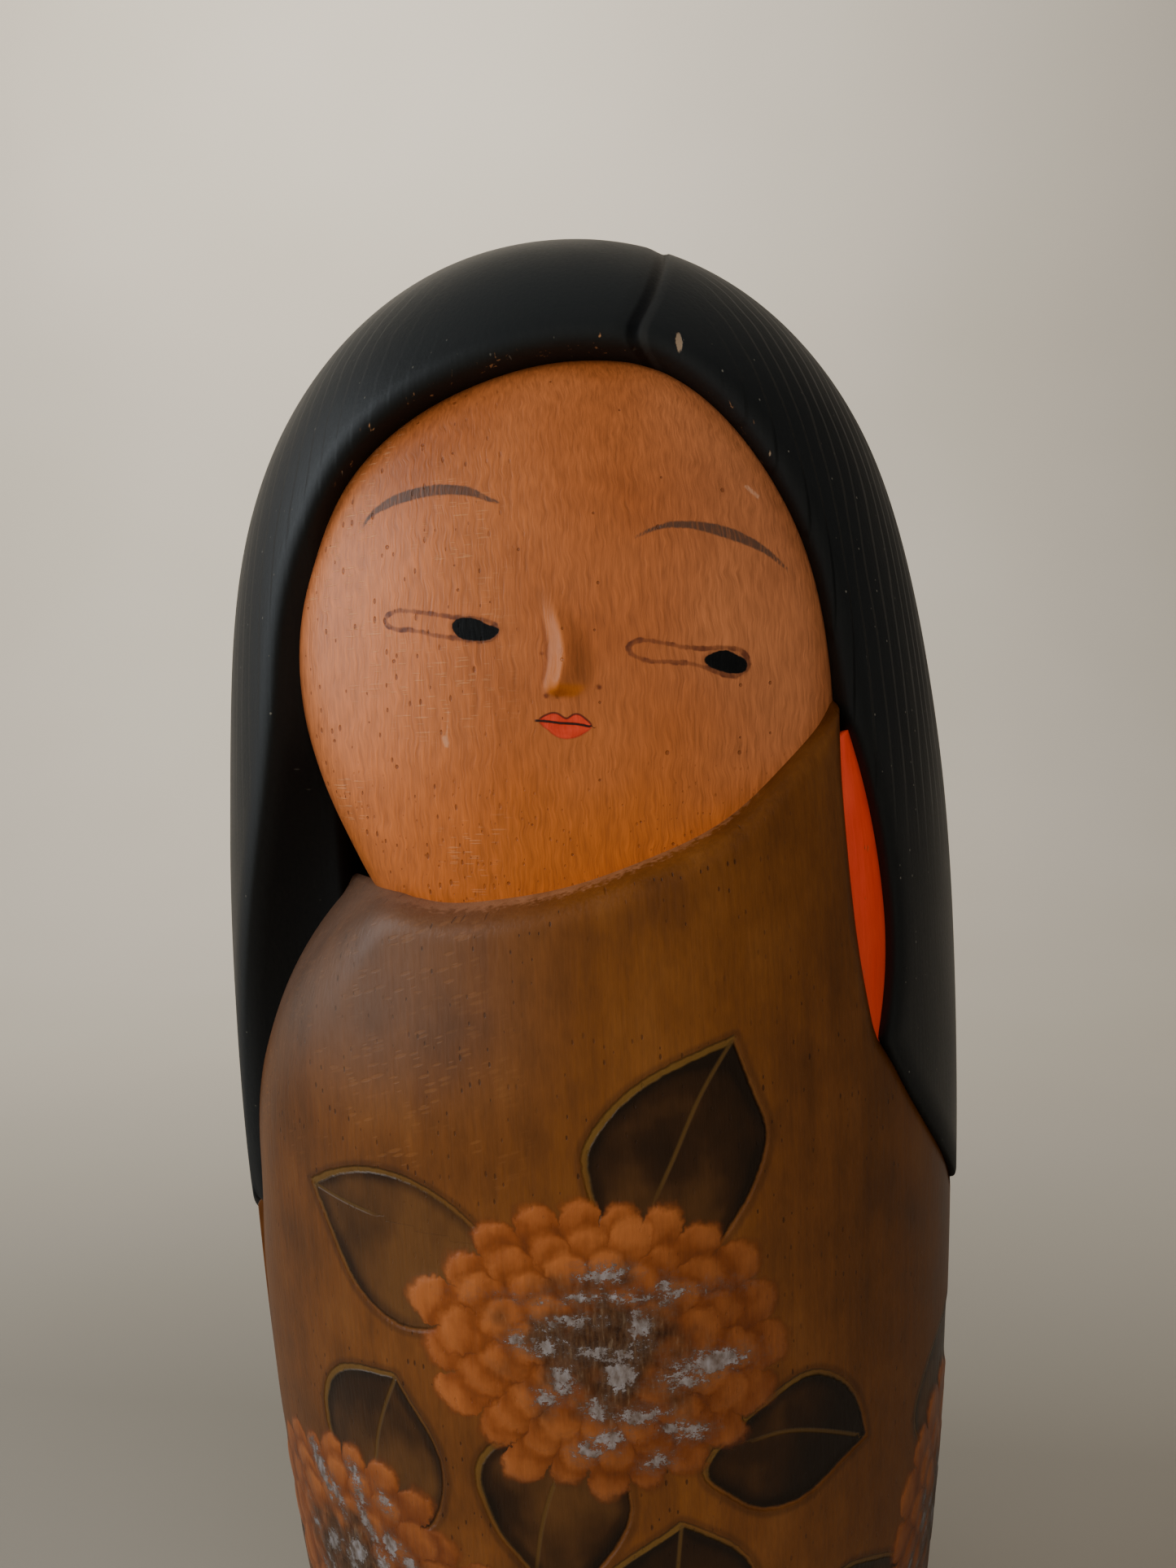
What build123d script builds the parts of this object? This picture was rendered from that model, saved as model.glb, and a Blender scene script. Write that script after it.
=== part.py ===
"""A large creative kokeshi doll: a girl with long black hair, her chin tucked into a wrapped robe.

The doll stands on Z = 0 and faces -Y, and +Z is up. Everything is in millimetres.

It is built from turned blocks that are carved and pegged together:
- robe_body, the lower block, whose front rises as a shoulder and collar in front of the chin
- hair_hood, the upper block, which sits on a seat that slopes down to the back
- face, a carved dome let into a pocket in the hood and held by two face_pins
- collar_lining, a thin slip that shows between the robe and the hair
- neck_dowel and locating_pin, which join the hood to the body
- core_plug and base_pad, which close the drying bore and pad the base
"""

import os

from build123d import *

os.makedirs("parts", exist_ok=True)

# Overall form
HEIGHT = 282.0  # base pad to crown
PAD_THICK = 1.5
HAIR_RADIUS = 60.7  # widest radius of the hair
HAIR_PROUD = 0.9  # how far the hair stands out from the robe below it
BASE_RADIUS = 43.5
BASE_EDGE = 2.0  # rounding of the bottom edge

# The joint between robe and hood
SEAT_FRONT_Y = -14.0  # back face of the standing shoulder and collar
SEAT_FRONT_Z = 126.5
SEAT_BACK_Z = 108.0
COLLAR_ROUND = 3.0  # rounding along the top of the shoulder and collar

# The face and its pocket
FACE_FRONT_Y = -54.0  # front of the dome, without the nose
FACE_BACK_Y = -17.0  # floor of the pocket
FACE_X, FACE_Z = -3.5, 215.0  # centre of the dome
DOME_RADIUS = 61.0
HEAD_TILT = 8.0  # degrees, the chin swung towards +X
NOSE_LENGTH = 15.0
NOSE_WIDTH = 5.6
NOSE_PROUD = 3.6
NOSE_DROP = 6.5  # the nose's lower end, below the dome's centre
FRINGE_ROUND = 2.5  # rounding of the hair where it frames the face
VALLEY_FLOOR_Y = -19.0  # bottom of the hollow between cheek, shoulder and hair

# The slip between robe and hair
LINING_FRONT_Y = -38.0
LINING_BACK_Y = -22.0

# Pegs, bore and plug
DOWEL_RADIUS, DOWEL_Y, DOWEL_LOW_Z, DOWEL_HIGH_Z = 9.0, 14.0, 88.0, 150.0
PIN_RADIUS, PIN_Y, PIN_LOW_Z, PIN_HIGH_Z = 3.0, 40.0, 96.0, 124.0
FACE_PIN_RADIUS, FACE_PIN_SPREAD, FACE_PIN_DEEP = 3.0, 17.0, 13.0
BORE_RADIUS, BORE_TOP_Z = 17.0, 74.0
PLUG_LENGTH = 14.0
PAD_RADIUS = 39.0

FAR = 100.0  # beyond the doll on any side


# Half outline of the hair's outside, from under the seat up to the crown: radius, Z
hair_side = [
    (58.0, 96),
    (59.7, 118),
    (60.5, 138),
    (HAIR_RADIUS, 158),
    (60.0, 186),
    (58.1, 208),
    (55.0, 228),
    (48.7, 248),
    (41.9, 259.5),
    (33.2, 269),
    (18.5, 278),
    (0, HEIGHT),
]

# Half outline of the robe's outside, from the base up past the collar: radius, Z
robe_side = [
    (BASE_RADIUS, PAD_THICK),
    (48.4, 31),
    (53.0, 62),
    (57.0, 97),
    (59.1, 126),
    (HAIR_RADIUS - HAIR_PROUD, 152),
    (59.3, 180),
    (57.4, 207),
]

# Front view of the shoulder, the collar, the wrapped edge and the far shoulder: X, Z
collar = [(-61.5, 124), (-57.5, 134), (-53.4, 152), (-46.5, 165), (-37.5, 175), (-27, 180.4)]
collar += [(-15, 180.4), (-3, 182), (8, 185.6), (19, 190.6), (28, 197.2), (35.6, 205)]
wrap_edge = [(35.6, 205), (35.4, 190), (36.2, 174), (38.6, 159.5)]
far_shoulder = [(38.6, 159.5), (42.2, 152.6), (48.8, 141), (55.5, 130), (61.5, 124)]

# Front view of the face, a closed loop: X, Z
face_loop = [
    (4, 255.6),
    (20, 249.2),
    (30, 233.5),
    (35.2, 214),
    (31, 194),
    (10, 178),
    (-14, 172),
    (-31, 182),
    (-40, 200),
    (-42.2, 217),
    (-34.5, 238),
    (-16, 251.8),
]

# Front view of the edge of the hanging hair beside the hollow: X, Z
valley_ridge = [(-37, 231), (-42, 218), (-45.8, 198.5), (-50.5, 178), (-54.5, 160), (-58.4, 130)]

# Front view of the lining slip: X, Z
lining_wrap_side = [(36.2, 202), (35.2, 190), (36, 174), (39.8, 156.5)]
lining_hair_side = [(39.8, 156.5), (42.2, 166), (42.3, 178), (40, 193), (36.2, 202)]


# ---------------------------------------------------------------- regions and hollows
with BuildPart() as robe_region:
    with BuildSketch(Plane.YZ):
        with BuildLine():
            seat = Spline((SEAT_FRONT_Y, SEAT_FRONT_Z), (8, 114.5), (64, SEAT_BACK_Z))
            Polyline(seat @ 1, (64, 0), (-64, 0), (-64, SEAT_FRONT_Z - 2), seat @ 0)
        make_face()
    extrude(amount=FAR, both=True)
    with BuildSketch(Plane.XZ.offset(-SEAT_FRONT_Y)):
        with BuildLine():
            Spline(*collar)
            Spline(*wrap_edge)
            Spline(*far_shoulder)
            Polyline(far_shoulder[-1], (FAR, 124), (FAR, 0), (-FAR, 0), (-FAR, 124), collar[0])
        make_face()
    extrude(amount=FAR)

with BuildPart() as face_pocket:
    with BuildSketch(Plane.XZ.offset(-FACE_BACK_Y)):
        with BuildLine():
            Spline(*face_loop, periodic=True)
        make_face()
    extrude(amount=FAR)

with BuildPart() as valley:
    with BuildSketch(Plane.XZ.offset(-VALLEY_FLOOR_Y)):
        with BuildLine():
            Spline(*valley_ridge)
            Polyline(valley_ridge[-1], (0, 130), (0, 200), valley_ridge[0])
        make_face()
    extrude(amount=FAR)

with BuildPart() as lining_way:
    with BuildSketch(Plane.XZ.offset(-LINING_BACK_Y)):
        with BuildLine():
            Spline(*lining_wrap_side)
            Spline(*lining_hair_side)
        make_face()
    extrude(amount=FAR)

with BuildPart() as neck_dowel:
    with Locations((0, DOWEL_Y, (DOWEL_LOW_Z + DOWEL_HIGH_Z) / 2)):
        Cylinder(DOWEL_RADIUS, DOWEL_HIGH_Z - DOWEL_LOW_Z)

with BuildPart() as locating_pin:
    with Locations((0, PIN_Y, (PIN_LOW_Z + PIN_HIGH_Z) / 2)):
        Cylinder(PIN_RADIUS, PIN_HIGH_Z - PIN_LOW_Z)

with BuildPart() as face_pins:
    with BuildSketch(Plane.XZ.offset(-FACE_BACK_Y)):
        with Locations((FACE_X, FACE_Z)):
            with GridLocations(2 * FACE_PIN_SPREAD, 1, 2, 1):
                Circle(FACE_PIN_RADIUS)
    extrude(amount=FACE_PIN_DEEP, both=True)

with BuildPart() as nose:
    with BuildSketch(Plane.YZ):
        with BuildLine():
            Polyline(
                (FACE_FRONT_Y - 0.3, NOSE_LENGTH),
                (FACE_FRONT_Y - NOSE_PROUD, 2.2),
                (FACE_FRONT_Y - NOSE_PROUD + 1.2, 0),
                (FACE_FRONT_Y + 4, 0),
                (FACE_FRONT_Y + 4, NOSE_LENGTH),
                close=True,
            )
        make_face()
    extrude(amount=NOSE_WIDTH / 2, both=True)
    with BuildSketch(Plane.XZ.offset(-FACE_FRONT_Y - 4)):
        with BuildLine():
            Polyline(
                (-NOSE_WIDTH / 2, 0),
                (NOSE_WIDTH / 2, 0),
                (NOSE_WIDTH / 4, NOSE_LENGTH),
                (-NOSE_WIDTH / 4, NOSE_LENGTH),
                close=True,
            )
        make_face()
    extrude(amount=NOSE_PROUD + 8, mode=Mode.INTERSECT)
    fillet(nose.faces().sort_by(Axis.Y)[0].edges().filter_by(Axis.X, reverse=True), 1.2)


# ---------------------------------------------------------------- the pieces
with BuildPart() as robe_body:
    with BuildSketch(Plane.XZ):
        with BuildLine():
            Spline(*robe_side)
            Polyline(robe_side[-1], (0, robe_side[-1][1]), (0, PAD_THICK), robe_side[0])
        make_face()
    revolve(axis=Axis.Z)
    fillet(robe_body.edges().group_by(Axis.Z)[0], BASE_EDGE)
    add(robe_region.part, mode=Mode.INTERSECT)
    rim = robe_body.edges().filter_by(GeomType.BSPLINE)
    fillet(rim.filter_by_position(Axis.Y, -HAIR_RADIUS, SEAT_FRONT_Y - 8), COLLAR_ROUND)
    with BuildSketch(Plane.XY.offset(PAD_THICK)):
        Circle(BORE_RADIUS)
    extrude(amount=BORE_TOP_Z - PAD_THICK, mode=Mode.SUBTRACT)
    add(neck_dowel.part, mode=Mode.SUBTRACT)
    add(locating_pin.part, mode=Mode.SUBTRACT)

with BuildPart() as hair_hood:
    with BuildSketch(Plane.XZ):
        with BuildLine():
            Spline(*hair_side, tangents=[(0.1, 1), (-1, 0)])
            Polyline(hair_side[-1], (0, 96), hair_side[0])
        make_face()
    revolve(axis=Axis.Z)
    add(robe_region.part, mode=Mode.SUBTRACT)
    add(face_pocket.part, mode=Mode.SUBTRACT)
    add(valley.part, mode=Mode.SUBTRACT)
    add(lining_way.part, mode=Mode.SUBTRACT)
    fringe = hair_hood.edges().filter_by_position(Axis.Z, FACE_Z + 10, HEIGHT)
    fillet(fringe.filter_by_position(Axis.Y, -HAIR_RADIUS, FACE_BACK_Y - 8), FRINGE_ROUND)
    add(neck_dowel.part, mode=Mode.SUBTRACT)
    add(locating_pin.part, mode=Mode.SUBTRACT)
    add(face_pins.part, mode=Mode.SUBTRACT)

with BuildPart() as face:
    with Locations((FACE_X, FACE_FRONT_Y + DOME_RADIUS, FACE_Z)):
        Sphere(DOME_RADIUS)
    with Locations(Location((FACE_X, 0, FACE_Z - NOSE_DROP), (0, HEAD_TILT, 0))):
        add(nose.part)
    add(face_pocket.part, mode=Mode.INTERSECT)
    add(robe_region.part, mode=Mode.SUBTRACT)
    add(face_pins.part, mode=Mode.SUBTRACT)

with BuildPart() as collar_lining:
    add(lining_way.part)
    split(bisect_by=Plane.XZ.offset(-LINING_FRONT_Y), keep=Keep.BOTTOM)
    add(robe_region.part, mode=Mode.SUBTRACT)
    add(face.part, mode=Mode.SUBTRACT)

with BuildPart() as core_plug:
    with BuildSketch(Plane.XY.offset(PAD_THICK)):
        Circle(BORE_RADIUS)
    extrude(amount=PLUG_LENGTH)
    chamfer(core_plug.edges().group_by(Axis.Z)[-1], 1.5)

with BuildPart() as base_pad:
    with BuildSketch():
        Circle(PAD_RADIUS)
    extrude(amount=PAD_THICK)

pieces = {
    "robe_body": robe_body,
    "hair_hood": hair_hood,
    "face": face,
    "collar_lining": collar_lining,
    "neck_dowel": neck_dowel,
    "locating_pin": locating_pin,
    "face_pins": face_pins,
    "core_plug": core_plug,
    "base_pad": base_pad,
}
for name, piece in pieces.items():
    piece.part.label = name
    export_step(piece.part, f"parts/{name}.step")
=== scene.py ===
import bpy
import numpy as np
from mathutils import Euler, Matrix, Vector


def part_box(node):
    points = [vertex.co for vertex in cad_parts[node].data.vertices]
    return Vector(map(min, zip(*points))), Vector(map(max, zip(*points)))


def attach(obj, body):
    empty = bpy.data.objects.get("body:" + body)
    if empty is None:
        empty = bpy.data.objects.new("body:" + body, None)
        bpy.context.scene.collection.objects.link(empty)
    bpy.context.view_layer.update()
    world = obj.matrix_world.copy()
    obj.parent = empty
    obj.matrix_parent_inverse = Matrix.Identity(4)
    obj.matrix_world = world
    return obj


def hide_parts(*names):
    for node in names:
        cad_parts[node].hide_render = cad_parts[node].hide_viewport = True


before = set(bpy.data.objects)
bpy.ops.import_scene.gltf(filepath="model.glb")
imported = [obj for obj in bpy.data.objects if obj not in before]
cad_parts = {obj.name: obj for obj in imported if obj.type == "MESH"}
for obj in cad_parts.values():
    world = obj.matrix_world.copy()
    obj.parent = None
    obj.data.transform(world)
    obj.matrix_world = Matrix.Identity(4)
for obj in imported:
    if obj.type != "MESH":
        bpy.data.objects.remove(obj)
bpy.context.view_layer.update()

# Lengths below are in millimetres: +Z is up, and the doll faces -Y.
MM = 0.001
TOP = 282.0  # the crown of the hair
GIRTH = 60.0  # about the widest radius


# ---- small maths
def smooth_curve(points, closed=False, steps=14):
    """A cubic spline through the points, as a fine polyline."""
    p = np.array(points, float)
    if closed:
        p = np.vstack([p, p[:1]])
    t = np.r_[0, np.cumsum(np.linalg.norm(np.diff(p, axis=0), axis=1))]
    n, h = len(p), np.diff(t)
    a, r = np.zeros((n, n)), np.zeros(p.shape)
    for i in range(1, n - 1):
        a[i, i - 1 : i + 2] = h[i - 1], 2 * (h[i - 1] + h[i]), h[i]
        r[i] = 6 * ((p[i + 1] - p[i]) / h[i] - (p[i] - p[i - 1]) / h[i - 1])
    if closed:
        a[0, 0], a[0, -1] = 1, -1
        a[-1, 0], a[-1, 1], a[-1, -2], a[-1, -1] = 2 * h[0], h[0], h[-1], 2 * h[-1]
        r[-1] = 6 * ((p[1] - p[0]) / h[0] - (p[-1] - p[-2]) / h[-1])
    else:
        a[0, 0] = a[-1, -1] = 1
    m = np.linalg.solve(a, r)
    s = np.linspace(0, t[-1], steps * (n - 1) + 1)
    i = np.clip(np.searchsorted(t, s, side="right") - 1, 0, n - 2)
    u, v, w = (s - t[i])[:, None], (t[i + 1] - s)[:, None], h[i][:, None]
    bend = (m[i] * v**3 + m[i + 1] * u**3) / (6 * w)
    return bend + (p[i] / w - m[i] * w / 6) * v + (p[i + 1] / w - m[i + 1] * w / 6) * u


def closed_curve(points, steps=14):
    return smooth_curve(points, True, steps)[:-1]


def mix(a, b, t):
    return a + (b - a) * t


def follow(x, line):
    """The second number of a line of points, at x along its first."""
    return np.interp(x, line[:, 0], line[:, 1])


def radius_at(z, profile):
    """The radius of a turned profile of radius, Z."""
    return np.interp(z, profile[:, 1], profile[:, 0])


def nearest(px, pz, line):
    """Distance to a polyline, the side of it as a sign, and how far along it, 0 to 1, for each point."""
    shape = px.shape
    px, pz = px.ravel(), pz.ravel()
    a, b = line[:-1], line[1:]
    ab = b - a
    length2 = np.maximum((ab**2).sum(1), 1e-12)
    run = np.r_[0, np.cumsum(np.sqrt(length2))]
    dist, side, along = np.empty(len(px)), np.empty(len(px)), np.empty(len(px))
    for k in range(0, len(px), 20000):
        x, z = px[k : k + 20000, None], pz[k : k + 20000, None]
        t = np.clip(((x - a[:, 0]) * ab[:, 0] + (z - a[:, 1]) * ab[:, 1]) / length2, 0, 1)
        dx, dz = x - a[:, 0] - t * ab[:, 0], z - a[:, 1] - t * ab[:, 1]
        d2 = dx * dx + dz * dz
        j = d2.argmin(1)
        row = np.arange(len(j))
        dist[k : k + 20000] = np.sqrt(d2[row, j])
        side[k : k + 20000] = np.sign(ab[j, 0] * dz[row, j] - ab[j, 1] * dx[row, j])
        along[k : k + 20000] = (run[j] + t[row, j] * np.sqrt(length2[j])) / run[-1]
    return dist.reshape(shape), side.reshape(shape), along.reshape(shape)


def inside_distance(px, pz, loop):
    """Signed distance to a closed loop, positive inside it."""
    line = np.vstack([loop, loop[:1]])
    dist = nearest(px, pz, line)[0].ravel()
    x, z = px.ravel(), pz.ravel()
    within = np.zeros(len(x), bool)
    for (x0, z0), (x1, z1) in zip(line[:-1], line[1:]):
        if z0 != z1:
            within ^= ((z0 > z) != (z1 > z)) & (x < (x1 - x0) * (z - z0) / (z1 - z0) + x0)
    return np.where(within, dist, -dist).reshape(px.shape)


def roll_over(d, radius, wall, deepest):
    """How deep a surface lies at distance d inside its outline: flat, a rounded edge, then a wall."""
    a_max = wall / np.sqrt(1 + wall**2)
    a = np.clip((radius - d) / radius, 0, None)
    round_part = radius * (1 - np.sqrt(1 - np.minimum(a, a_max) ** 2))
    wall_part = wall * np.maximum(a - a_max, 0) * radius
    return deepest * np.tanh((round_part + wall_part) / deepest)


# ---- the turned form
hair_profile = smooth_curve([
    (58, 96), (59.7, 118), (60.5, 138), (60.7, 158), (60, 186), (58.1, 208), (55, 228),
    (48.7, 248), (41.9, 259.5), (33.2, 269), (18.5, 278), (0, TOP),
])
robe_profile = smooth_curve([
    (43.5, 1.5), (49.1, 31), (54.2, 62), (57.7, 97), (59.2, 126), (59.8, 152), (59.3, 180), (57.4, 207),
])
hair_profile[:, 1] = np.minimum(hair_profile[:, 1], TOP)


# The sloping seat between robe and hair: Y, Z
SEAT = smooth_curve([(-14, 126.5), (8, 114.5), (64, 108)])


def seat_z(y):
    return follow(y, SEAT)


# Outlines in the front view: X, Z
hair_ridge = smooth_curve([
    (-60.2, 118), (-57.8, 131), (-56.6, 142), (-55.4, 153), (-53.8, 164), (-51.4, 176), (-48.6, 187.5),
    (-45.9, 198.3), (-43.9, 208), (-42.6, 216), (-40.2, 225.3), (-36.8, 233), (-32, 240.6), (-25.5, 246.8),
    (-13, 252.9), (-3, 255.3), (4, 255.6), (11, 254.6), (17.6, 250.7), (23.2, 244.8), (27.8, 237.6),
    (31.6, 229.4), (34.2, 219.7), (35.4, 210.3), (36.4, 203.4),
])
lining_hair_side = smooth_curve([
    (36.4, 203.4), (39.2, 194.5), (41.4, 183), (42.2, 173), (41.6, 164), (40.2, 157),
])
far_shoulder = smooth_curve([(40.2, 157), (42.6, 152), (48.6, 141.4), (55.9, 128.9), (60.4, 119.5)])
hair_hole = np.vstack([hair_ridge, lining_hair_side, far_shoulder, [(80, 90), (-80, 90)]])

collar = smooth_curve([
    (-60.4, 119), (-58.4, 127), (-57.5, 133), (-57.2, 139), (-55.2, 148.7), (-51.3, 157.4), (-46.9, 164.9),
    (-41, 172), (-34.5, 177.6), (-28.9, 180.2), (-22.8, 179.3), (-13.9, 179.5), (-3.2, 181.3), (7.4, 184.7),
    (18.4, 189.6), (27.6, 197.3), (35.2, 204.2),
])
wrap_edge = smooth_curve([
    (35.2, 204.2), (35, 196.7), (35.2, 188.9), (35.8, 178.7), (36.9, 168.4), (38.6, 159),
])
robe_top = np.vstack([collar, wrap_edge, [(39.4, 156.6)], far_shoulder[6:], [(80, -60), (-80, -60)]])

face_loop = closed_curve([
    (4.1, 256.4), (11.1, 255.4), (17.9, 251.6), (23.4, 245.7), (28.3, 238.2), (32.2, 229.8), (34.9, 219.7),
    (36.2, 209), (34.5, 197), (27, 186), (14, 178), (-3, 174.4), (-18, 174), (-29, 178.2), (-34.4, 186.8),
    (-38.3, 195.6), (-40.9, 203.8), (-42.4, 212.3), (-42, 220.9), (-39.4, 229.4), (-34, 239.8),
    (-24.6, 248.3), (-12.3, 254), (-2.7, 256.2),
])


def angles_for(front, back, reach):
    """Column angles round the axis, 0 at the front, with steps in millimetres at the front and back."""
    fine = np.linspace(0, 2 * np.pi, 4001)
    off = np.degrees(np.minimum(fine, 2 * np.pi - fine))
    step = mix(front, back, rise(reach, reach + 25, off))
    count = np.r_[0, np.cumsum(GIRTH * np.diff(fine) / (0.5 * (step[1:] + step[:-1])))]
    n = int(round(count[-1]))
    return np.interp(np.arange(n) * count[-1] / n, count, fine)


def rows_along(profile, step):
    """Points at even steps along a profile of radius, Z."""
    run = np.r_[0, np.cumsum(np.linalg.norm(np.diff(profile, axis=0), axis=1))]
    s = np.linspace(0, run[-1], int(run[-1] / step) + 1)
    return np.c_[np.interp(s, run, profile[:, 0]), np.interp(s, run, profile[:, 1])]


def skin(name, grid, start=None, end=None, around=True):
    """A mesh over a grid of points (rows, columns, 3) in mm, closed at its ends by a point each."""
    rows, cols = grid.shape[:2]
    verts = grid.reshape(-1, 3)
    index = np.arange(rows * cols).reshape(rows, cols)
    if around:
        index = np.c_[index, index[:, 0]]
    corners = [index[:-1, :-1], index[:-1, 1:], index[1:, 1:], index[1:, :-1]]
    faces = np.stack(corners, -1).reshape(-1, 4).tolist()
    for tip, ring, turn in ((start, index[0], -1), (end, index[-1], 1)):
        if tip is not None:
            faces += [[len(verts), *pair[::turn]] for pair in zip(ring[:-1].tolist(), ring[1:].tolist())]
            verts = np.vstack([verts, [tip]])
    mesh = bpy.data.meshes.new(name)
    mesh.from_pydata((verts * MM).tolist(), [], faces)
    mesh.polygons.foreach_set("use_smooth", [True] * len(mesh.polygons))
    mesh.update()
    piece = bpy.data.objects.new(name, mesh)
    bpy.context.scene.collection.objects.link(piece)
    return piece


def on_envelope(profile_rows, angles):
    """A turned form: rows of radius, Z carried round the angles."""
    r, z = profile_rows[:, :1], profile_rows[:, 1:]
    return np.stack([r * np.sin(angles), -r * np.cos(angles), z + 0 * angles], -1)


def turned(z, angles, profile):
    """X and Y of the points at these heights and angles on a turned profile."""
    r = radius_at(z, profile)
    return r * np.sin(angles), -r * np.cos(angles)


def is_behind(y):
    """0 on the front half, where the outlines of the front view hold, and 1 on the back half."""
    return rise(-19, -7, y)


def pulled_in(x, y, depth):
    """X and Y moved towards the axis."""
    r = np.hypot(x, y)
    scale = np.where(r > 1, (r - depth) / np.maximum(r, 1), 1)
    return x * scale, y * scale


def tag(piece, name, values):
    """Stores a number for every point of a piece; the closing points get the last one's."""
    layer = piece.data.attributes.new(name, "FLOAT", "POINT")
    flat = np.asarray(values, float).ravel()
    missing = len(piece.data.vertices) - len(flat)
    layer.data.foreach_set("value", np.r_[flat, np.full(missing, flat[-1])])


# ---- numbers inside a material
class Wire:
    """One number inside a material; arithmetic on it adds the nodes."""

    __array_ufunc__ = None

    def __init__(self, socket):
        self.socket = socket

    def __neg__(self):
        return calc("MULTIPLY", self, -1.0)


for sign, operation in (("add", "ADD"), ("sub", "SUBTRACT"), ("mul", "MULTIPLY"), ("truediv", "DIVIDE")):
    setattr(Wire, f"__{sign}__", lambda self, other, kind=operation: calc(kind, self, other))
    setattr(Wire, f"__r{sign}__", lambda self, other, kind=operation: calc(kind, other, self))


def srgb(r, g, b):
    """A linear colour from the usual 0 to 255 numbers."""
    c = np.array([r, g, b]) / 255
    return tuple(float(v) for v in np.where(c <= 0.04045, c / 12.92, ((c + 0.055) / 1.055) ** 2.4))


def feed(tree, slot, value):
    """Puts a wire, a colour of 0 to 255 numbers or a plain number into an input."""
    if isinstance(value, Wire):
        tree.links.new(value.socket, slot)
    elif isinstance(value, bpy.types.NodeSocket):
        tree.links.new(value, slot)
    elif isinstance(value, tuple) and len(value) == 3 and slot.type == "RGBA":
        slot.default_value = (*srgb(*value), 1.0)
    else:
        slot.default_value = value


def calc(operation, *values):
    tree = next(v.socket.id_data for v in values if isinstance(v, Wire))
    node = tree.nodes.new("ShaderNodeMath")
    node.operation = operation
    for slot, value in zip(node.inputs, values):
        feed(tree, slot, value)
    return Wire(node.outputs[0])


def either(operation, plain):
    """A function that works on arrays of numbers and on wires alike."""
    def run(*values):
        if any(isinstance(v, Wire) for v in values):
            return calc(operation, *values)
        return plain(*values)
    return run


fract = either("FRACT", lambda v: v - np.floor(v))
whole = either("FLOOR", np.floor)
sine = either("SINE", np.sin)
root = either("SQRT", np.sqrt)
size_of = either("ABSOLUTE", np.abs)
lesser = either("MINIMUM", np.minimum)
greater = either("MAXIMUM", np.maximum)
heading = either("ARCTAN2", np.arctan2)


def rise(low, high, x):
    """0 at low, 1 at high, with soft ends, for arrays and wires."""
    if not isinstance(x, Wire):
        t = np.clip((x - low) / (high - low), 0, 1)
        return t * t * (3 - 2 * t)
    tree = x.socket.id_data
    node = tree.nodes.new("ShaderNodeMapRange")
    node.interpolation_type = "SMOOTHSTEP"
    for slot, value in zip(node.inputs, (x, low, high)):
        feed(tree, slot, value)
    return Wire(node.outputs[0])


def band(x, middle, half, soft):
    """1 within half of the middle, falling to 0 over soft."""
    return rise(half + soft, half, size_of(x - middle))


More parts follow.
